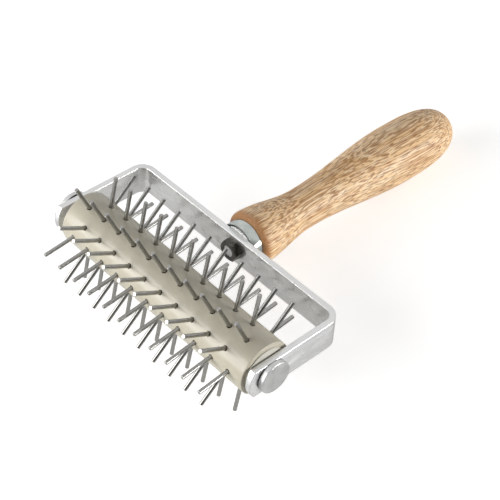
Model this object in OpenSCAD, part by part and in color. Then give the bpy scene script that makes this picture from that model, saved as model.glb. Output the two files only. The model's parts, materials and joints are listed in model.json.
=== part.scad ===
// Dough docker: a spiked roller that turns on an axle in a bent steel yoke, with a turned wooden
// handle bolted to the back of the yoke.
// It lies as it does on a table, on the tips of its pins and the belly of its handle.
// X runs along the axle, +Y from the axle towards the handle, and +Z is up.
// The origin is on the table, under the middle of the object's outer box.

/* [Pins] */
// Pins in a long row, the short rows between have one less
long_row_pins = 11; // [3:1:15]
// Distance between neighbouring pins in a row
pin_pitch = 11.05; // [8:0.05:16]
// Diameter of a pin
pin_d = 2; // [1.2:0.1:3]
// How far a pin stands out of the roller
pin_proud = 16.6; // [8:0.1:18]
// How deep a pin is pressed into the roller
pin_embed = 4.4; // [2:0.1:4.8]
// How far the line of each pin passes beside the axle, which makes the pins lean
pin_offset = 2.25; // [0:0.05:3]
// Angle of the first long row's pins above the handle's axis, as the roller lies
pin_phase = 42.1; // [0:0.1:72]

/* [Roller] */
// Outer diameter of the roller
roller_d = 27.9; // [26:0.1:32]
// Distance from the last pin of a long row to the roller's end
roller_margin = 8.65; // [5:0.05:14]
// Diameter of the bore that the end bushes are pressed into
core_d = 16; // [13:0.5:17]
// Chamfer round each end of the roller
roller_chamfer = 0.5; // [0.2:0.1:1]

/* [End bushes] */
// Diameter of a bush's flange
flange_d = 22.8; // [18:0.2:25]
// Thickness of a bush's flange
flange_t = 0.6; // [0.4:0.1:2]
// Length of a bush inside the roller
bush_len = 12; // [6:1:30]
// Radial clearance between a bush and the axle
run_clear = 0.05; // [0.02:0.01:0.09]
// End float between each bush and what faces it
end_float = 0.7; // [0.2:0.05:1.2]

/* [Axle] */
// Diameter of the axle
axle_d = 8; // [5:0.5:9]
// Diameter of a button head
head_d = 16.6; // [14:0.2:20]
// Thickness of a button head
head_t = 2.3; // [2:0.1:4]
// Bevel round a button head's outer edge
head_bevel = 0.35; // [0.1:0.05:0.6]
// Diameter of the neck that holds a head off its arm
neck_d = 11.6; // [10:0.2:13]
// Length of the neck
neck_t = 0.5; // [0.3:0.1:2]
// How deep the axle reaches into a head
head_seat = 1.6; // [0.5:0.1:1.8]
// Outer diameter of the spacer inside the left arm
spacer_d = 14; // [11:0.5:20]
// Thickness of the spacer
spacer_t = 3.2; // [1:0.1:5]

/* [Yoke] */
// Width of the flat bar
bar_w = 15.9; // [14:0.1:20]
// Thickness of the flat bar
bar_t = 3.2; // [2:0.1:5]
// Outer radius of the two bends
bend_r = 8; // [6:0.5:12]
// Radius of the rounded arm ends, centred on the axle
arm_end_r = 12.8; // [11.5:0.1:16]
// Free space between the pin tips and the inside of the back bar
back_space = 9.45; // [7:0.05:20]

/* [Tang and nut] */
// Diameter of the tang
tang_d = 6; // [4:0.5:8]
// Width across the flats of the tang nut
nut_af = 10; // [9.5:0.5:13]
// Thickness of the tang nut
nut_t = 3.4; // [2.5:0.1:5]
// Angle that the nut was left at
nut_turn = 55; // [0:1:59]
// How far the tang's end lies behind the nut's face
tang_recess = 0.3; // [0.1:0.1:1]
// How deep the tang reaches into the handle
tang_depth = 62; // [30:1:90]

/* [Ferrule and collar] */
// Diameter of the collar between the bar and the ferrule
collar_d = 20.4; // [16:0.2:21.4]
// Thickness of the collar
collar_t = 2.2; // [1:0.1:4]
// Gap round the collar inside the ferrule
collar_gap = 0.6; // [0.3:0.1:1.2]
// Wall of the ferrule
ferrule_wall = 0.6; // [0.4:0.1:1.2]
// Gap between the ferrule's rim and the bar
ferrule_gap = 0.3; // [0.1:0.1:1]
// Thickness of the web inside the ferrule
web_t = 1; // [0.6:0.1:2]
// Length of the handle's spigot inside the ferrule
spigot_len = 2.7; // [1:0.1:8]

/* [Handle] */
// Length of the handle behind the ferrule
handle_len = 140.1; // [110:0.5:180]
// Largest radius of the flare at the ferrule
flare_r = 14.2; // [13.8:0.1:18]
// Rounding of the flare's front edge
flare_round = 2.6; // [1:0.1:2.8]
// Distance from the handle's front face to its narrowest place
waist_at = 35; // [25:0.5:50]
// Radius of the waist
waist_r = 10.4; // [7:0.1:13]
// Distance from the handle's front face to its thickest place
belly_at = 103; // [75:0.5:105]
// Radius at the thickest place
belly_r = 15.55; // [14:0.05:20]
// Fullness of the butt along its length
butt_power = 2.85; // [2:0.05:4]
// Fullness of the butt across its width
butt_square = 3; // [2:0.1:4]

/* [Hidden] */
$fn = 64;
PIN_FN = 24;

// Along the axle
roller_len = (long_row_pins - 1) * pin_pitch + 2 * roller_margin;
gap_right = flange_t + end_float;
gap_left = flange_t + end_float + spacer_t;
yoke_inner = roller_len + gap_right + gap_left;
yoke_w = yoke_inner + 2 * bar_t;
roller_x = (gap_left - gap_right) / 2;
roller_r = roller_d / 2;
pin_foot = sqrt(pow(roller_r, 2) - pow(pin_offset, 2));
pin_reach = pin_foot + pin_proud;
tip_r = norm([pin_reach, pin_offset + pin_d / 2]);

// Along the handle, measured from the axle
bar_in_y = tip_r + back_space;
bar_out_y = bar_in_y + bar_t;
ferrule_id = collar_d + 2 * collar_gap;
ferrule_r = ferrule_id / 2 + ferrule_wall;
rim_y = bar_out_y + ferrule_gap;
web_y = bar_out_y + collar_t;
face_y = web_y + web_t + spigot_len;
butt_y = face_y + handle_len;

// The handle's outline as [radius, distance from its front face]
ARC_STEPS = 6;
BLEND_STEPS = 14;
BUTT_STEPS = 20;
function blend(a, b, u) = a + (b - a) * (1 - cos(180 * u)) / 2;
flare_edge = [for (i = [0:ARC_STEPS])
    let (a = 90 * i / ARC_STEPS)
    [flare_r - flare_round * (1 - sin(a)), flare_round * (1 - cos(a))]];
neck_side = [for (i = [1:BLEND_STEPS])
    let (u = i / BLEND_STEPS)
    [blend(flare_r, waist_r, u), flare_round + (waist_at - flare_round) * u]];
palm_side = [for (i = [1:BLEND_STEPS])
    let (u = i / BLEND_STEPS)
    [blend(waist_r, belly_r, u), waist_at + (belly_at - waist_at) * u]];
butt_side = [for (i = [1:BUTT_STEPS])
    let (u = sin(90 * i / BUTT_STEPS))
    [belly_r * pow(max(0, 1 - pow(u, butt_power)), 1 / butt_square),
     belly_at + (handle_len - belly_at) * u]];
outline = concat(flare_edge, neck_side, palm_side, butt_side);

// The rows of pins stand at even steps round the roller, one node for each
row_count = 10;
row_step = 360 / row_count;

// Corners of the pin tips about the axle, as [distance towards the handle, height]
tip_corners = [for (k = [1:row_count], side = [-1, 1])
    let (g = pin_phase + (k - 1) * row_step, beside = pin_offset + side * pin_d / 2)
    [pin_reach * cos(g) + beside * sin(g), pin_reach * sin(g) - beside * cos(g)]];

// How the tool lies: the table touches the lowest tips and the belly of the handle
lie_angle = max([for (c = tip_corners)
    min([for (p = outline) atan2(-c[1] - p[0], face_y + p[1] - c[0])])]);
axle_z = max([for (c = tip_corners) c[0] * sin(lie_angle) - c[1] * cos(lie_angle)]);

// Ends of the outer box along Y, from the axle
back_end = max([for (p = outline) (face_y + p[1]) * cos(lie_angle) + p[0] * sin(lie_angle)]);
front_tips = max([for (c = tip_corners) -c[0] * cos(lie_angle) - c[1] * sin(lie_angle)]);
axle_y = (front_tips - back_end) / 2;

// Moves a piece from the tool's own axes, with the axle on X, to where it lies
module lie() {
    translate([0, axle_y, axle_z]) rotate([-lie_angle, 0, 0]) children();
}

// A cylinder along X that starts at x
module rod_x(x, d, len) {
    translate([x, 0, 0]) rotate([0, 90, 0]) cylinder(d = d, h = len);
}

// A cylinder along Y that starts at y
module rod_y(y, d, len) {
    translate([0, y, 0]) rotate([-90, 0, 0]) cylinder(d = d, h = len);
}

// Past each face that a cut goes through
through = 1;

// Flat steel bar, bent twice into a U
module yoke() {
    color("silver") lie() difference() {
        union() {
            translate([-yoke_w / 2 + bend_r, bar_in_y, -bar_w / 2])
                cube([yoke_w - 2 * bend_r, bar_t, bar_w]);
            for (side = [0, 1]) mirror([side, 0, 0]) {
                yoke_bend();
                yoke_arm();
            }
        }
        rod_x(-yoke_w / 2 - through, axle_d, yoke_w + 2 * through);
        rod_y(bar_in_y - through, tang_d, bar_t + 2 * through);
    }
}

module yoke_bend() {
    translate([yoke_w / 2 - bend_r, bar_out_y - bend_r, -bar_w / 2])
        rotate_extrude(angle = 90)
            translate([bend_r - bar_t, 0]) square([bar_t, bar_w]);
}

module yoke_arm() {
    arm_len = bar_out_y - bend_r;
    translate([yoke_w / 2 - bar_t, 0, -bar_w / 2]) cube([bar_t, arm_len, bar_w]);
    intersection() {
        translate([yoke_w / 2 - bar_t, -arm_end_r, -bar_w / 2])
            cube([bar_t, arm_end_r, bar_w]);
        rod_x(yoke_w / 2 - bar_t, 2 * arm_end_r, bar_t);
    }
}

// Steel rod that the roller turns on
module axle_rod() {
    reach = yoke_w / 2 + neck_t + head_seat;
    color("lightgray") lie() rod_x(-reach, axle_d, 2 * reach);
}

// Button head on a short neck, pressed on the axle's end outside the arm
module axle_head(side) {
    color("whitesmoke") lie() mirror([side, 0, 0]) difference() {
        translate([yoke_w / 2, 0, 0]) rotate([0, 90, 0]) rotate_extrude()
            polygon([[0, 0], [neck_d / 2, 0], [neck_d / 2, neck_t], [head_d / 2, neck_t],
                     [head_d / 2, neck_t + head_t - head_bevel],
                     [head_d / 2 - head_bevel, neck_t + head_t], [0, neck_t + head_t]]);
        rod_x(yoke_w / 2 - through, axle_d, through + neck_t + head_seat);
    }
}

module axle_head_right() {
    axle_head(0);
}

module axle_head_left() {
    axle_head(1);
}

// Steel washer that takes up the space inside the left arm
module axle_spacer() {
    color("lightgray") lie() difference() {
        rod_x(-yoke_inner / 2, spacer_d, spacer_t);
        rod_x(-yoke_inner / 2 - through, axle_d, spacer_t + 2 * through);
    }
}

// Steel rod from the nut through the bar, collar and ferrule into the handle
module tang_rod() {
    start = bar_in_y - nut_t + tang_recess;
    color("lightgray") lie() rod_y(start, tang_d, face_y + tang_depth - start);
}

// Hexagon nut inside the back bar, with the usual rounded corners
module tang_nut() {
    nut_corner = nut_af / sqrt(3);
    corner_cut = nut_corner - nut_af / 2;
    color("gray") lie() difference() {
        translate([0, bar_in_y - nut_t, 0]) rotate([-90, 0, 0]) intersection() {
            rotate([0, 0, nut_turn]) cylinder(r = nut_corner, h = nut_t, $fn = 6);
            rotate_extrude()
                polygon([[0, 0], [nut_af / 2, 0], [nut_corner, corner_cut / 2],
                         [nut_corner, nut_t], [0, nut_t]]);
        }
        rod_y(bar_in_y - nut_t - through, tang_d, nut_t + 2 * through);
    }
}

// Washer-like collar that the bar is drawn against
module tang_collar() {
    color("lightgray") lie() difference() {
        rod_y(bar_out_y, collar_d, collar_t);
        rod_y(bar_out_y - through, tang_d, collar_t + 2 * through);
    }
}

// Bright cup over the collar and the handle's spigot, with a web between them
module ferrule() {
    color("gainsboro") lie() difference() {
        rod_y(rim_y, 2 * ferrule_r, face_y - rim_y);
        rod_y(rim_y - through, ferrule_id, web_y - rim_y + through);
        rod_y(web_y + web_t, ferrule_id, spigot_len + through);
        rod_y(rim_y, tang_d, face_y - rim_y);
    }
}

// Turned wooden handle with a spigot in the ferrule and a bore for the tang
module handle() {
    spigot_r = ferrule_id / 2;
    color("burlywood") lie() difference() {
        translate([0, face_y, 0]) rotate([-90, 0, 0]) rotate_extrude()
            polygon(concat([[0, -spigot_len], [spigot_r, -spigot_len], [spigot_r, 0]],
                           outline));
        rod_y(face_y - spigot_len - through, tang_d, spigot_len + through + tang_depth);
    }
}

// Puts its children at every pin of one row, with +Z pointing out of the roller
module row_places(k) {
    pins = k % 2 == 1 ? long_row_pins : long_row_pins - 1;
    rotate([pin_phase + (k - 1) * row_step - 90, 0, 0])
        for (i = [0:pins - 1])
            translate([roller_x + (i - (pins - 1) / 2) * pin_pitch, pin_offset, 0]) children();
}

// Ivory plastic roller with a hole for each pin
module roller_body() {
    half = roller_len / 2;
    color("ivory") lie() difference() {
        translate([roller_x - half, 0, 0]) rotate([0, 90, 0]) rotate_extrude()
            polygon([[core_d / 2, 0], [roller_r - roller_chamfer, 0],
                     [roller_r, roller_chamfer], [roller_r, roller_len - roller_chamfer],
                     [roller_r - roller_chamfer, roller_len], [core_d / 2, roller_len]]);
        for (k = [1:row_count])
            row_places(k)
                translate([0, 0, pin_foot - pin_embed])
                    cylinder(d = pin_d, h = pin_embed + through, $fn = PIN_FN);
    }
}

// Pale plastic bush with a flange, pressed into one end of the roller
module end_bush(side) {
    color("linen") lie() translate([roller_x, 0, 0]) mirror([side, 0, 0]) difference() {
        union() {
            rod_x(roller_len / 2 - bush_len, core_d, bush_len);
            rod_x(roller_len / 2, flange_d, flange_t);
        }
        rod_x(roller_len / 2 - bush_len - through, axle_d + 2 * run_clear,
              bush_len + flange_t + 2 * through);
    }
}

module end_bush_right() {
    end_bush(0);
}

module end_bush_left() {
    end_bush(1);
}

// One row of straight steel pins with flat tips
module pin_row(k) {
    color("slategray") lie() row_places(k)
        translate([0, 0, pin_foot - pin_embed])
            cylinder(d = pin_d, h = pin_embed + pin_proud, $fn = PIN_FN);
}

yoke();
axle_rod();
axle_head_right();
axle_head_left();
axle_spacer();
tang_rod();
tang_nut();
tang_collar();
ferrule();
handle();
roller_body();
end_bush_right();
end_bush_left();
pin_row(1);  // pin_row_1
pin_row(2);  // pin_row_2
pin_row(3);  // pin_row_3
pin_row(4);  // pin_row_4
pin_row(5);  // pin_row_5
pin_row(6);  // pin_row_6
pin_row(7);  // pin_row_7
pin_row(8);  // pin_row_8
pin_row(9);  // pin_row_9
pin_row(10);  // pin_row_10
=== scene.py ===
import json
import math

import bmesh
import bpy
from mathutils import Matrix, Vector


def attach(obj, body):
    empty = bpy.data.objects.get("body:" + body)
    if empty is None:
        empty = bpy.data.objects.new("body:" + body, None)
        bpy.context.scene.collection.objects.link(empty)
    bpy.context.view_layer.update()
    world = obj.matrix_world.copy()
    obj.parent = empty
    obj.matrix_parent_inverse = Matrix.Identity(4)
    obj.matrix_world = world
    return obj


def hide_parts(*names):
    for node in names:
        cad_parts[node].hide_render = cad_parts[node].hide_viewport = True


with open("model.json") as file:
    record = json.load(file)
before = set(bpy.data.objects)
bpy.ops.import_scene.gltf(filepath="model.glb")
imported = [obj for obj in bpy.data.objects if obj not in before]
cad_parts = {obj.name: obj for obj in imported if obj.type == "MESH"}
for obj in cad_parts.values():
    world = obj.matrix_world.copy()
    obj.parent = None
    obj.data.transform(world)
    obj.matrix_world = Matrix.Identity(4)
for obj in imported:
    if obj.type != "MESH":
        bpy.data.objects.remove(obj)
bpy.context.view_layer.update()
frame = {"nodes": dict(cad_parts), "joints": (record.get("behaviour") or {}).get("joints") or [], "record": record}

# Camera
# It stands in front of the near end of the roller and looks down on the tool at about 47 degrees.
# Its place, lens and roll were fitted to the pins, the handle and the edges of the yoke.
camera_data = bpy.data.cameras.new("camera")
camera_data.sensor_width = 36
camera_data.lens = 99.05
camera_data.clip_start = 0.01
camera_data.clip_end = 50
camera = bpy.data.objects.new("camera", camera_data)
bpy.context.scene.collection.objects.link(camera)
camera_place = Vector((0.34355, -0.32514, 0.50220))
camera_aim = Vector((0.00881, -0.03627, 0.02975))
camera_roll = math.radians(-1.962)
back = (camera_place - camera_aim).normalized()
level_right = Vector((0, 0, 1)).cross(back).normalized()
level_up = back.cross(level_right)
right = math.cos(camera_roll) * level_right + math.sin(camera_roll) * level_up
up = back.cross(right)
camera.matrix_world = Matrix.Translation(camera_place) @ Matrix((right, up, back)).transposed().to_4x4()
bpy.context.scene.camera = camera
bpy.context.scene.view_settings.view_transform = "Standard"

# Floor and light
# A white floor and a white sweep round it. One wide soft lamp stands low at the front left and a long
# low one behind on the right. The ceiling is dim and the room on the camera's right is dark, which
# gives the steel its dark sides. The floor keeps the tool's soft shadow.


def add(tree, kind, inputs=None, **settings):
    """Adds a shader node, sets its properties, and fills its inputs with values or with other sockets."""
    made = tree.nodes.new(kind)
    for name, value in settings.items():
        setattr(made, name, value)
    for name, value in (inputs or {}).items():
        if isinstance(value, bpy.types.NodeSocket):
            tree.links.new(value, made.inputs[name])
        else:
            made.inputs[name].default_value = value
    return made


def new_material(name):
    """A material with an empty Principled shader, as (material, tree, shader)."""
    material = bpy.data.materials.new(name)
    material.use_nodes = True
    tree = material.node_tree
    return material, tree, tree.nodes["Principled BSDF"]


def ramp(tree, value, stops):
    """A colour ramp through the stops, each (position, (red, green, blue))."""
    made = add(tree, "ShaderNodeValToRGB", {"Fac": value})
    elements = made.color_ramp.elements
    while len(elements) < len(stops):
        elements.new(0.5)
    for element, (place, colour) in zip(elements, stops):
        element.position = place
        element.color = (*colour, 1)
    return made.outputs["Color"]


def seen_directly(tree, by_camera, by_metal):
    """These strengths for rays from the camera and for rays off metal or through glass, 0 for the rest."""
    rays = add(tree, "ShaderNodeLightPath").outputs
    off_things = add(tree, "ShaderNodeMath", {0: rays["Is Glossy Ray"], 1: rays["Is Transmission Ray"]},
                     operation="MAXIMUM").outputs[0]
    metal = add(tree, "ShaderNodeMath", {0: off_things, 1: by_metal}, operation="MULTIPLY").outputs[0]
    camera = add(tree, "ShaderNodeMath", {0: rays["Is Camera Ray"], 1: by_camera},
                 operation="MULTIPLY").outputs[0]
    return add(tree, "ShaderNodeMath", {0: metal, 1: camera}, operation="MAXIMUM").outputs[0]


def nothing_selected():
    if bpy.context.mode != "OBJECT":
        bpy.ops.object.mode_set(mode="OBJECT")
    bpy.ops.object.select_all(action="DESELECT")


nothing_selected()
bpy.ops.mesh.primitive_circle_add(vertices=96, radius=6, fill_type="NGON")
floor = bpy.context.active_object
floor.name = "floor"
floor_paint, tree, shader = new_material("floor_paint")
shader.inputs["Base Color"].default_value = (0.86, 0.86, 0.855, 1)
shader.inputs["Roughness"].default_value = 0.9
shader.inputs["Specular IOR Level"].default_value = 0.1
shader.inputs["Emission Color"].default_value = (1, 1, 1, 1)
spot = add(tree, "ShaderNodeTexCoord").outputs["Object"]
distance = add(tree, "ShaderNodeVectorMath", {0: spot}, operation="LENGTH").outputs["Value"]
paler_far_out = add(tree, "ShaderNodeMapRange", {0: distance, 1: 0.6, 2: 2.0, 3: 0.60, 4: 1.0}).outputs[0]
tree.links.new(seen_directly(tree, paler_far_out, 0.26), shader.inputs["Emission Strength"])
floor.data.materials.append(floor_paint)

world = bpy.data.worlds.new("studio")
bpy.context.scene.world = world
world.use_nodes = True
tree = world.node_tree
direction = add(tree, "ShaderNodeTexCoord").outputs["Generated"]
height = add(tree, "ShaderNodeSeparateXYZ", {0: direction}).outputs["Z"]
by_height = ramp(tree, height, [(0.0, (0.90, 0.90, 0.90)), (0.25, (0.70, 0.70, 0.70)),
                                (0.55, (0.32, 0.32, 0.32)), (1.0, (0.20, 0.20, 0.20))])
towards_room = add(tree, "ShaderNodeVectorMath", {0: direction, 1: Vector((0.88, -0.45, 0.14)).normalized()},
                   operation="DOT_PRODUCT").outputs["Value"]
sweep = ramp(tree, towards_room, [(0.0, (1.0, 1.0, 1.0)), (0.58, (0.95, 0.95, 0.95)),
                                  (0.85, (0.12, 0.12, 0.12)), (1.0, (0.03, 0.03, 0.03))])
towards_right = add(tree, "ShaderNodeVectorMath", {0: direction, 1: Vector((0.93, -0.15, 0.33)).normalized()},
                    operation="DOT_PRODUCT").outputs["Value"]
by_side = ramp(tree, towards_right, [(0.0, (1.0, 1.0, 1.0)), (0.30, (0.90, 0.90, 0.90)),
                                     (0.70, (0.22, 0.22, 0.22)), (1.0, (0.08, 0.08, 0.08))])
light = add(tree, "ShaderNodeMix", {0: 1.0, 6: by_height, 7: by_side}, data_type="RGBA",
            blend_type="MULTIPLY").outputs[2]
lit = add(tree, "ShaderNodeMix", {0: seen_directly(tree, 0.0, 1.0), 6: light, 7: sweep},
          data_type="RGBA").outputs[2]
sky = add(tree, "ShaderNodeMix", {0: seen_directly(tree, 1.0, 0.0), 6: lit, 7: (1, 1, 1, 1)},
          data_type="RGBA").outputs[2]
tree.links.new(sky, tree.nodes["Background"].inputs["Color"])


def soft_lamp(name, place, aim, width, height, power):
    """An upright area lamp at place that points at aim."""
    data = bpy.data.lights.new(name, "AREA")
    data.shape = "RECTANGLE"
    data.size = width
    data.size_y = height
    data.energy = power
    lamp = bpy.data.objects.new(name, data)
    bpy.context.scene.collection.objects.link(lamp)
    lamp.location = place
    lamp.rotation_euler = (Vector(aim) - Vector(place)).to_track_quat("-Z", "Y").to_euler()


soft_lamp("left_lamp", (-0.50, -1.26, 0.34), (0, 0, 0.03), 1.3, 1.3, 26)
soft_lamp("back_lamp", (1.15, 0.58, 0.16), (0, 0, 0.03), 0.9, 0.28, 15)

# Yoke
# One flat bar of stainless steel, bent twice into a U. Its arms end in an arc round the axle, its
# edges are broken, and it is polished along its length to a satin.
MM = 0.001
hair = 0.01 * MM
axle_place = Vector(frame["joints"][0]["pos_m"])
grip = next(m for m in frame["record"]["mounts"] if m["name"] == "hand_grip")
lie_angle = math.atan2(-grip["axis"][2], grip["axis"][1])
lie = Matrix.Translation(axle_place) @ Matrix.Rotation(-lie_angle, 4, "X")


def only(obj):
    """Selects this object alone and makes it the active one."""
    nothing_selected()
    obj.select_set(True)
    bpy.context.view_layer.objects.active = obj


def moved(obj, matrix):
    """Moves an object by a matrix and puts the move into its mesh."""
    only(obj)
    obj.matrix_world = matrix @ obj.matrix_world
    bpy.ops.object.transform_apply(location=True, rotation=True, scale=True)


def settled(obj, name, material, body, node):
    """Lays a piece that was made about the axle where the tool lies, in place of its plain solid."""
    moved(obj, lie)
    obj.name = obj.data.name = name
    obj.data.materials.clear()
    obj.data.materials.append(material)
    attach(obj, body)
    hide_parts(node)


def in_edit_mode():
    """Puts the new primitive's place into its mesh, and opens it in edit mode."""
    bpy.ops.object.transform_apply(location=True, rotation=True, scale=True)
    bpy.ops.object.mode_set(mode="EDIT")
    return bpy.context.active_object


def cylinder_x(radius, start, end, sides=96):
    """A closed cylinder along the axle from start to end, open in edit mode."""
    nothing_selected()
    bpy.ops.mesh.primitive_cylinder_add(vertices=sides, radius=radius, depth=abs(end - start),
                                        location=((start + end) / 2, 0, 0), rotation=(0, math.pi / 2, 0))
    return in_edit_mode()


def cylinder_y(radius, start, end, sides=96, turn=0):
    """A closed cylinder along the handle from start to end, open in edit mode."""
    nothing_selected()
    bpy.ops.mesh.primitive_cylinder_add(vertices=sides, radius=radius, depth=abs(end - start),
                                        location=(0, (start + end) / 2, 0), rotation=(math.pi / 2, turn, 0))
    return in_edit_mode()


def pick(mode, test):
    """In edit mode, selects only the faces or edges that the test says yes to."""
    bpy.ops.mesh.select_mode(type=mode)
    bpy.ops.mesh.select_all(action="DESELECT")
    mesh = bmesh.from_edit_mesh(bpy.context.active_object.data)
    for part in mesh.faces if mode == "FACE" else mesh.edges:
        part.select_set(test(part))
    mesh.select_flush_mode()
    bmesh.update_edit_mesh(bpy.context.active_object.data)


def at(axis, value):
    """A test for a face or an edge that lies wholly at this value of an axis."""
    return lambda part: all(abs(v.co[axis] - value) < hair for v in part.verts)


def extrude(x, y, z):
    bpy.ops.mesh.extrude_region_move(TRANSFORM_OT_translate={"value": (x, y, z)})


def finish_with(obj, kind, **settings):
    """Adds a modifier to a piece and applies it."""
    only(obj)
    modifier = obj.modifiers.new(kind.lower(), kind)
    for name, value in settings.items():
        setattr(modifier, name, value)
    bpy.ops.object.modifier_apply(modifier=modifier.name)


def cut(obj, tool, operation="DIFFERENCE"):
    """Cuts a piece with a tool, and deletes the tool."""
    finish_with(obj, "BOOLEAN", object=tool, operation=operation, solver="EXACT")
    bpy.data.objects.remove(tool)


def smooth(obj, angle):
    """Smooth shading, with edges sharper than the angle kept crisp."""
    only(obj)
    bpy.ops.object.shade_smooth_by_angle(angle=math.radians(angle))


def tool_coordinates(tree):
    """The piece's own coordinates about the axle: X along it and Y towards the handle, in metres."""
    own = add(tree, "ShaderNodeTexCoord").outputs["Object"]
    return add(tree, "ShaderNodeMapping", {"Vector": own, "Location": axle_place,
                                           "Rotation": (-lie_angle, 0, 0)}, vector_type="TEXTURE").outputs[0]


def stretched(tree, vector, scale):
    return add(tree, "ShaderNodeMapping", {"Vector": vector, "Scale": scale}).outputs[0]


def noise(tree, vector, scale, detail=2.0, roughness=0.5):
    made = add(tree, "ShaderNodeTexNoise", {"Vector": vector, "Scale": scale, "Detail": detail,
                                            "Roughness": roughness})
    return made.outputs[0]


def ranged(tree, value, low, high, to_low, to_high):
    made = add(tree, "ShaderNodeMapRange", {0: value, 1: low, 2: high, 3: to_low, 4: to_high})
    return made.outputs[0]


def bumped(tree, shader, height, distance, strength):
    made = add(tree, "ShaderNodeBump", {"Height": height, "Distance": distance, "Strength": strength})
    tree.links.new(made.outputs[0], shader.inputs["Normal"])


roller_d, pin_offset, pin_d = 27.9 * MM, 2.25 * MM, 2 * MM
pin_proud, pin_embed = 16.6 * MM, 4.4 * MM
pin_foot = math.sqrt((roller_d / 2) ** 2 - pin_offset ** 2)
pin_reach = pin_foot + pin_proud
tip_r = math.hypot(pin_reach, pin_offset + pin_d / 2)

yoke_w, bar_w, bar_t = 140 * MM, 15.9 * MM, 3.2 * MM
bend_r, arm_end_r, edge_break = 8 * MM, 12.8 * MM, 0.4 * MM
back_space = 9.45 * MM
bar_in_y = tip_r + back_space
bar_out_y = bar_in_y + bar_t
bend_y = bar_out_y - bend_r
arm_x = yoke_w / 2 - bar_t
axle_r, tang_r = 4 * MM, 3 * MM

nothing_selected()
bpy.ops.mesh.primitive_circle_add(vertices=160, radius=arm_end_r, fill_type="NGON",
                                  location=(arm_x, 0, 0), rotation=(0, math.pi / 2, 0))
yoke = in_edit_mode()
for place, away in (((0, 0, bar_w / 2), (0, 0, 1)), ((0, 0, -bar_w / 2), (0, 0, -1)), ((0, 0, 0), (0, 1, 0))):
    bpy.ops.mesh.select_all(action="SELECT")
    bpy.ops.mesh.bisect(plane_co=place, plane_no=away, clear_outer=True)
pick("EDGE", at(1, 0))
extrude(0, bend_y, 0)
bpy.ops.mesh.select_all(action="SELECT")
extrude(bar_t, 0, 0)
pick("FACE", at(1, bend_y))
bpy.ops.mesh.spin(steps=24, angle=math.pi / 2, center=(yoke_w / 2 - bend_r, bend_y, 0), axis=(0, 0, -1))
extrude(bend_r - yoke_w / 2, 0, 0)
bpy.ops.mesh.delete(type="FACE")
bpy.ops.mesh.select_all(action="SELECT")
bpy.ops.mesh.remove_doubles(threshold=hair)
bpy.ops.mesh.normals_make_consistent(inside=False)
finish_with(yoke, "MIRROR", use_axis=(True, False, False), merge_threshold=hair)
cut(yoke, cylinder_x(axle_r, -yoke_w, yoke_w, 64))
cut(yoke, cylinder_y(tang_r, bar_in_y - bar_t, bar_out_y + bar_t, 64))
finish_with(yoke, "BEVEL", width=edge_break, segments=3, limit_method="ANGLE", angle_limit=math.radians(50))
smooth(yoke, 35)

bar_steel, tree, shader = new_material("bar_steel")
place = tool_coordinates(tree)
polish = noise(tree, stretched(tree, place, (25, 25, 2600)), 1.0, 3.0, 0.6)
clouds = noise(tree, stretched(tree, place, (60, 60, 200)), 1.0, 2.0)
tree.links.new(ramp(tree, polish, [(0.25, (0.60, 0.60, 0.595)), (0.75, (0.74, 0.74, 0.735))]),
               shader.inputs["Base Color"])
shader.inputs["Metallic"].default_value = 1
tree.links.new(ranged(tree, clouds, 0.3, 0.7, 0.24, 0.31), shader.inputs["Roughness"])
shader.inputs["Anisotropic"].default_value = 0.8
shader.inputs["Anisotropic Rotation"].default_value = 0.25
facing = add(tree, "ShaderNodeNewGeometry").outputs["Normal"]
along_bar = add(tree, "ShaderNodeVectorMath", {0: facing, 1: (0.15, 0.10, 1)},
                operation="CROSS_PRODUCT").outputs[0]
tree.links.new(along_bar, shader.inputs["Tangent"])
settled(yoke, "yoke_bar", bar_steel, "frame", "yoke")

# Axle rod, spacer and tang rod
# Bright turned steel. The rod runs through the roller and both arms, the spacer takes up the
# room inside the left arm, and the tang holds the handle.
turned_steel, tree, shader = new_material("turned_steel")
place = tool_coordinates(tree)
grain = noise(tree, place, 900, 3.0)
tree.links.new(ramp(tree, grain, [(0.3, (0.50, 0.50, 0.495)), (0.7, (0.62, 0.62, 0.615))]),
               shader.inputs["Base Color"])
shader.inputs["Metallic"].default_value = 1
tree.links.new(ranged(tree, grain, 0.3, 0.7, 0.22, 0.34), shader.inputs["Roughness"])
for node_name in ("axle_rod", "axle_spacer", "tang_rod"):
    frame["nodes"][node_name].data.materials.clear()
    frame["nodes"][node_name].data.materials.append(turned_steel)

# Axle heads
# A flat round button is pressed on each end of the axle. A short neck holds it off the arm, and
# its face keeps the faint rings of the lathe.
head_r, head_t, head_bevel = 8.3 * MM, 2.3 * MM, 0.35 * MM
neck_r, neck_t, head_seat = 5.8 * MM, 0.5 * MM, 1.6 * MM

head_steel, tree, shader = new_material("head_steel")
place = tool_coordinates(tree)
radius = add(tree, "ShaderNodeVectorMath", {0: stretched(tree, place, (0, 1, 1))}, operation="LENGTH")
rings = noise(tree, add(tree, "ShaderNodeCombineXYZ", {0: radius.outputs["Value"]}).outputs[0], 1800, 2.0)
blotches = noise(tree, place, 260, 4.0, 0.6)
tree.links.new(ramp(tree, blotches, [(0.3, (0.47, 0.47, 0.465)), (0.7, (0.60, 0.60, 0.595))]),
               shader.inputs["Base Color"])
shader.inputs["Metallic"].default_value = 1
tree.links.new(ranged(tree, blotches, 0.3, 0.7, 0.26, 0.40), shader.inputs["Roughness"])
bumped(tree, shader, rings, 0.00003, 0.3)

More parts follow.
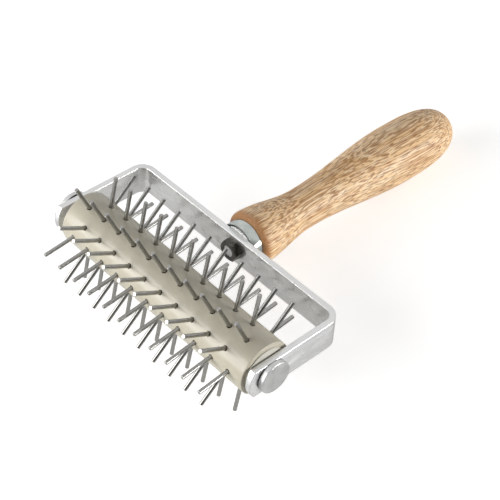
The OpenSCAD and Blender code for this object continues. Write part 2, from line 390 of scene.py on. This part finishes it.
head_in, head_out = yoke_w / 2 + neck_t, yoke_w / 2 + neck_t + head_t
head = cylinder_x(head_r, head_in, head_out)
pick("EDGE", at(0, head_out))
bpy.ops.mesh.bevel(offset=head_bevel, segments=3)
pick("FACE", at(0, head_in))
bpy.ops.mesh.inset(thickness=head_r - neck_r)
extrude(-neck_t, 0, 0)
cut(head, cylinder_x(axle_r, yoke_w / 2 - neck_t, head_in + head_seat, 64))
smooth(head, 30)


def copied(piece):
    """A copy of a piece, with a mesh of its own."""
    copy = piece.copy()
    copy.data = piece.data.copy()
    bpy.context.scene.collection.objects.link(copy)
    return copy


twin = copied(head)
moved(twin, Matrix.Rotation(math.pi, 4, "Z"))
settled(head, "head_right", head_steel, "frame", "axle_head_right")
settled(twin, "head_left", head_steel, "frame", "axle_head_left")

# Tang nut
# A plated hexagon nut on the threaded end of the tang, tight against the inside of the back bar.
# Its free face is turned off at the corners, and the tang's end shows in its bore.
nut_flat_r, nut_t, nut_turn = 5 * MM, 3.4 * MM, math.radians(25)
nut_edge = 0.08 * MM
nut_corner_r = nut_flat_r / math.cos(math.pi / 6)
nut_y = bar_in_y - nut_t
corner_slope = math.tan(math.radians(27))

nut = cylinder_y(nut_corner_r, nut_y, bar_in_y, 6, nut_turn)
nothing_selected()
bpy.ops.mesh.primitive_cone_add(vertices=120, radius1=nut_flat_r + nut_t / corner_slope, radius2=nut_flat_r,
                                depth=nut_t, location=(0, nut_y + nut_t / 2, 0), rotation=(math.pi / 2, 0, 0))
in_edit_mode()
cut(nut, bpy.context.active_object, "INTERSECT")
cut(nut, cylinder_y(tang_r, nut_y - nut_t, bar_in_y + nut_t, 48))
finish_with(nut, "BEVEL", width=nut_edge, segments=2, limit_method="ANGLE", angle_limit=math.radians(40))
smooth(nut, 25)

nut_steel, tree, shader = new_material("nut_steel")
place = tool_coordinates(tree)
grain = noise(tree, place, 1100, 4.0, 0.6)
tree.links.new(ramp(tree, grain, [(0.3, (0.055, 0.052, 0.046)), (0.7, (0.11, 0.106, 0.096))]),
               shader.inputs["Base Color"])
shader.inputs["Metallic"].default_value = 1
tree.links.new(ranged(tree, grain, 0.3, 0.7, 0.22, 0.38), shader.inputs["Roughness"])
bumped(tree, shader, grain, 0.00003, 0.3)
settled(nut, "tang_hexnut", nut_steel, "frame", "tang_nut")

# Collar
# A thick round steel washer, turned and with its edges broken, that the back bar is drawn
# against. It fills the mouth of the ferrule.
collar_r, collar_t, collar_edge = 10.2 * MM, 2.2 * MM, 0.25 * MM
web_y = bar_out_y + collar_t

collar = cylinder_y(collar_r, bar_out_y, web_y)
pick("EDGE", lambda e: at(1, bar_out_y)(e) or at(1, web_y)(e))
bpy.ops.mesh.bevel(offset=collar_edge, segments=2)
cut(collar, cylinder_y(tang_r, bar_in_y, web_y + bar_t, 48))
smooth(collar, 30)
settled(collar, "bar_collar", turned_steel, "frame", "tang_collar")

# Ferrule
# A bright cup pressed from chromed sheet, a hair off the bar. Its web is clamped between the
# collar and the handle's spigot.
ferrule_r, ferrule_wall, web_t, spigot_len = 11.4 * MM, 0.6 * MM, 1 * MM, 2.7 * MM
rim_gap, rim_edge = 0.3 * MM, 0.15 * MM
rim_y = bar_out_y + rim_gap
face_y = web_y + web_t + spigot_len

ferrule = cylinder_y(ferrule_r, rim_y, face_y)
for end, floor_y in ((rim_y, web_y), (face_y, web_y + web_t)):
    pick("FACE", at(1, end))
    bpy.ops.mesh.inset(thickness=ferrule_wall)
    extrude(0, floor_y - end, 0)
pick("EDGE", at(1, rim_y))
bpy.ops.mesh.bevel(offset=rim_edge, segments=2)
cut(ferrule, cylinder_y(tang_r, rim_y, face_y, 48))
smooth(ferrule, 30)

ferrule_chrome, tree, shader = new_material("ferrule_chrome")
place = tool_coordinates(tree)
smudge = noise(tree, place, 300, 3.0)
tree.links.new(ramp(tree, smudge, [(0.3, (0.40, 0.43, 0.41)), (0.7, (0.52, 0.55, 0.53))]),
               shader.inputs["Base Color"])
shader.inputs["Metallic"].default_value = 1
tree.links.new(ranged(tree, smudge, 0.3, 0.7, 0.07, 0.14), shader.inputs["Roughness"])
settled(ferrule, "ferrule_cup", ferrule_chrome, "frame", "ferrule")

# Handle
# One piece of pale open-grained hardwood, turned with a flare, a waist, a palm swell and a blunt
# round butt, sanded along the grain and oiled. Its colour is darker over the first few millimetres behind the
# ferrule.
handle_len = 140.1 * MM
flare_r, flare_round = 14.2 * MM, 2.6 * MM
waist_at, waist_r = 35 * MM, 10.4 * MM
belly_at, belly_r = 103 * MM, 15.55 * MM
butt_power, butt_square = 2.85, 3
flare_steps, waist_steps, belly_steps, butt_steps = 8, 24, 28, 36
spigot_r, tang_depth = ferrule_r - ferrule_wall, 62 * MM


def eased(a, b, u):
    return a + (b - a) * (1 - math.cos(math.pi * u)) / 2


outline = [(spigot_r, -spigot_len), (spigot_r, 0)]
for i in range(flare_steps + 1):
    turn = math.pi / 2 * i / flare_steps
    outline.append((flare_r - flare_round * (1 - math.sin(turn)), flare_round * (1 - math.cos(turn))))
for i in range(1, waist_steps + 1):
    outline.append((eased(flare_r, waist_r, i / waist_steps),
                    flare_round + (waist_at - flare_round) * i / waist_steps))
for i in range(1, belly_steps + 1):
    outline.append((eased(waist_r, belly_r, i / belly_steps),
                    waist_at + (belly_at - waist_at) * i / belly_steps))
for i in range(1, butt_steps):
    u = math.sin(math.pi / 2 * i / butt_steps)
    outline.append((belly_r * (1 - u ** butt_power) ** (1 / butt_square),
                    belly_at + (handle_len - belly_at) * u))

nothing_selected()
bpy.ops.mesh.primitive_circle_add(vertices=128, radius=spigot_r, fill_type="NGON",
                                  location=(0, face_y - spigot_len, 0), rotation=(math.pi / 2, 0, 0))
handle = in_edit_mode()
bpy.ops.mesh.select_all(action="SELECT")
for (r0, y0), (r1, y1) in zip(outline, outline[1:]):
    extrude(0, y1 - y0, 0)
    bpy.ops.transform.resize(value=(r1 / r0, 1, r1 / r0), center_override=(0, face_y + y1, 0))
extrude(0, handle_len - outline[-1][1], 0)
bpy.ops.mesh.merge(type="COLLAPSE")
bpy.ops.mesh.select_all(action="SELECT")
bpy.ops.mesh.normals_make_consistent(inside=False)
cut(handle, cylinder_y(tang_r, web_y, face_y + tang_depth, 48))
smooth(handle, 40)

handle_wood, tree, shader = new_material("handle_wood")
place = tool_coordinates(tree)
from_face = add(tree, "ShaderNodeVectorMath", {0: place, 1: (0, face_y, 0)}, operation="SUBTRACT").outputs[0]
wander = noise(tree, stretched(tree, from_face, (40, 12, 40)), 1.0, 2.0)
sway = add(tree, "ShaderNodeCombineXYZ", {0: ranged(tree, wander, 0, 1, -0.002, 0.002),
                                          2: ranged(tree, wander, 0, 1, 0.0015, -0.0015)}).outputs[0]
grain_place = add(tree, "ShaderNodeVectorMath", {0: from_face, 1: sway}, operation="ADD").outputs[0]
bands = noise(tree, stretched(tree, grain_place, (150, 5, 420)), 1.0, 3.0, 0.55)
streaks = noise(tree, stretched(tree, grain_place, (1300, 8, 1300)), 1.0, 1.0, 0.5)
pores = noise(tree, stretched(tree, grain_place, (1350, 22, 2700)), 1.0, 0.0, 0.5)
flecks = noise(tree, stretched(tree, grain_place, (2000, 170, 2000)), 1.0, 0.0, 0.5)
body = ramp(tree, bands, [(0.30, (0.82, 0.52, 0.25)), (0.50, (0.92, 0.64, 0.36)), (0.72, (0.97, 0.74, 0.47))])
# Pale streaks: partly the wood's own lighter grain, partly painted sheen.
streaked_with_sheen = add(tree, "ShaderNodeMix", {0: ranged(tree, streaks, 0.44, 0.60, 0.0, 0.55), 6: body,
                                       7: (0.97, 0.82, 0.60, 1)}, data_type="RGBA").outputs[2]
pore_mask = ranged(tree, pores, 0.52, 0.59, 0.0, 0.72)
pored = add(tree, "ShaderNodeMix", {0: pore_mask, 6: streaked_with_sheen, 7: (0.43, 0.19, 0.06, 1)},
            data_type="RGBA").outputs[2]
fleck_mask = ranged(tree, flecks, 0.59, 0.65, 0.0, 0.76)
flecked = add(tree, "ShaderNodeMix", {0: fleck_mask, 6: pored, 7: (0.30, 0.11, 0.025, 1)},
              data_type="RGBA").outputs[2]
along = add(tree, "ShaderNodeSeparateXYZ", {0: from_face}).outputs["Y"]
# Darker over the first 4.5 mm behind the ferrule, and darkest in the first millimetre.
behind_ferrule = ranged(tree, along, 0.0010, 0.0045, 0.80, 0.0)
darkened_behind_ferrule = add(tree, "ShaderNodeMix", {0: behind_ferrule, 6: flecked, 7: (0.40, 0.16, 0.045, 1)},
            data_type="RGBA").outputs[2]
tree.links.new(darkened_behind_ferrule, shader.inputs["Base Color"])
tree.links.new(ranged(tree, streaks, 0.3, 0.7, 0.58, 0.46), shader.inputs["Roughness"])
shader.inputs["Specular IOR Level"].default_value = 0.4
dents = add(tree, "ShaderNodeMath", {0: pore_mask, 1: fleck_mask}, operation="MAXIMUM").outputs[0]
hollow = add(tree, "ShaderNodeMath", {0: 1.0, 1: dents}, operation="SUBTRACT").outputs[0]
bumped(tree, shader, hollow, 0.00006, 0.3)
settled(handle, "handle_wood", handle_wood, "frame", "handle")

# Roller
# A thick tube of ivory plastic with a gloss, its rims rounded. Each pin stands in a drilled hole
# whose mouth is a little wider than the pin, and the holes miss the middle of the axle.
pin_pitch, long_row_pins, row_count = 11.05 * MM, 11, 10
pin_phase, row_step = math.radians(42.1), math.radians(36)
roller_r, core_r, rim_round = roller_d / 2, 8 * MM, 0.5 * MM
mouth_r, mouth_depth = 1.3 * MM, 1.2 * MM
end_margin = 8.65 * MM
roller_len = (long_row_pins - 1) * pin_pitch + 2 * end_margin
flange_t, spacer_t = 0.6 * MM, 3.2 * MM
roller_x = spacer_t / 2
near_x, far_x = roller_x + roller_len / 2, roller_x - roller_len / 2

roller = cylinder_x(roller_r, far_x, near_x, 192)
pick("EDGE", lambda e: at(0, near_x)(e) or at(0, far_x)(e))
bpy.ops.mesh.bevel(offset=rim_round, segments=4)
pick("FACE", lambda f: at(0, near_x)(f) or at(0, far_x)(f))
bpy.ops.mesh.inset(thickness=roller_r - rim_round - core_r, use_individual=True)
bpy.ops.mesh.bridge_edge_loops()


def stands_in_row(piece, k):
    """Turns a piece that stands on +Z over the axle into row k: one for each pin, a pitch apart."""
    count = long_row_pins if k % 2 else long_row_pins - 1
    finish_with(piece, "ARRAY", count=count, use_relative_offset=False, use_constant_offset=True,
                constant_offset_displace=(pin_pitch, 0, 0))
    moved(piece, Matrix.Rotation(pin_phase + (k - 1) * row_step - math.pi / 2, 4, "X")
          @ Matrix.Translation((roller_x - (count - 1) / 2 * pin_pitch, pin_offset, 0)))


nothing_selected()
bpy.ops.mesh.primitive_cylinder_add(vertices=20, radius=mouth_r, depth=2 * mouth_depth,
                                    location=(0, 0, pin_foot))
drill = in_edit_mode()
pick("FACE", at(2, pin_foot - mouth_depth))
bpy.ops.mesh.inset(thickness=mouth_r - pin_d / 2)
extrude(0, 0, mouth_depth - pin_embed)
nothing_selected()
drills = [copied(drill) for k in range(row_count)]
bpy.data.objects.remove(drill)
for k, row in enumerate(drills, 1):
    stands_in_row(row, k)
nothing_selected()
for row in drills:
    row.select_set(True)
bpy.context.view_layer.objects.active = drills[0]
bpy.ops.object.join()
cut(roller, drills[0])
smooth(roller, 35)

roller_plastic, tree, shader = new_material("roller_plastic")
place = tool_coordinates(tree)
mottle = noise(tree, place, 90, 3.0, 0.55)
scuffs = noise(tree, stretched(tree, place, (300, 2400, 2400)), 1.0, 3.0, 0.6)
tree.links.new(ramp(tree, mottle, [(0.3, (0.50, 0.462, 0.362)), (0.7, (0.55, 0.512, 0.408))]),
               shader.inputs["Base Color"])
tree.links.new(ranged(tree, scuffs, 0.3, 0.7, 0.20, 0.30), shader.inputs["Roughness"])
shader.inputs["IOR"].default_value = 1.5
bumped(tree, shader, mottle, 0.0001, 0.1)
settled(roller, "roller_tube", roller_plastic, "roller", "roller_body")

# End bushes
# A natural nylon bush pressed into each end of the roller. Only the edge of its flange shows,
# between the roller and the arm.
flange_r, flange_edge = 11.4 * MM, 0.15 * MM
bush_len, run_clear = 12 * MM, 0.05 * MM

bush_plastic, tree, shader = new_material("bush_plastic")
place = tool_coordinates(tree)
flow = noise(tree, place, 220, 3.0)
tree.links.new(ramp(tree, flow, [(0.3, (0.55, 0.53, 0.46)), (0.7, (0.62, 0.60, 0.53))]),
               shader.inputs["Base Color"])
tree.links.new(ranged(tree, flow, 0.3, 0.7, 0.38, 0.5), shader.inputs["Roughness"])

bush = cylinder_x(flange_r, near_x, near_x + flange_t)
pick("EDGE", at(0, near_x + flange_t))
bpy.ops.mesh.bevel(offset=flange_edge, segments=2)
pick("FACE", at(0, near_x))
bpy.ops.mesh.inset(thickness=flange_r - core_r)
extrude(-bush_len, 0, 0)
cut(bush, cylinder_x(axle_r + run_clear, near_x - 2 * bush_len, near_x + bush_len, 64))
smooth(bush, 30)
twin = copied(bush)
moved(twin, Matrix.Translation((2 * roller_x, 0, 0)) @ Matrix.Rotation(math.pi, 4, "Z"))
settled(bush, "bush_right", bush_plastic, "roller", "end_bush_right")
settled(twin, "bush_left", bush_plastic, "roller", "end_bush_left")

# Pins
# Straight lengths of drawn stainless wire, cut flat, with the edge of the cut just broken. They are
# pressed into the roller in ten rows, eleven and ten to a row by turns, and all lean one way.
pin_edge = 0.12 * MM

pin_steel, tree, shader = new_material("pin_steel")
place = tool_coordinates(tree)
draw_marks = noise(tree, place, 1500, 3.0, 0.6)
tree.links.new(ramp(tree, draw_marks, [(0.3, (0.28, 0.275, 0.262)), (0.7, (0.40, 0.395, 0.38))]),
               shader.inputs["Base Color"])
shader.inputs["Metallic"].default_value = 1
tree.links.new(ranged(tree, draw_marks, 0.3, 0.7, 0.08, 0.14), shader.inputs["Roughness"])

nothing_selected()
bpy.ops.mesh.primitive_cylinder_add(vertices=20, radius=pin_d / 2, depth=pin_embed + pin_proud,
                                    location=(0, 0, (pin_foot - pin_embed + pin_reach) / 2))
pin = in_edit_mode()
pick("EDGE", at(2, pin_reach))
bpy.ops.mesh.bevel(offset=pin_edge, segments=1)
smooth(pin, 40)
rows = [copied(pin) for k in range(row_count)]
bpy.data.objects.remove(pin)
for k, row in enumerate(rows, 1):
    stands_in_row(row, k)
    settled(row, f"pins_{k}", pin_steel, "roller", f"pin_row_{k}")
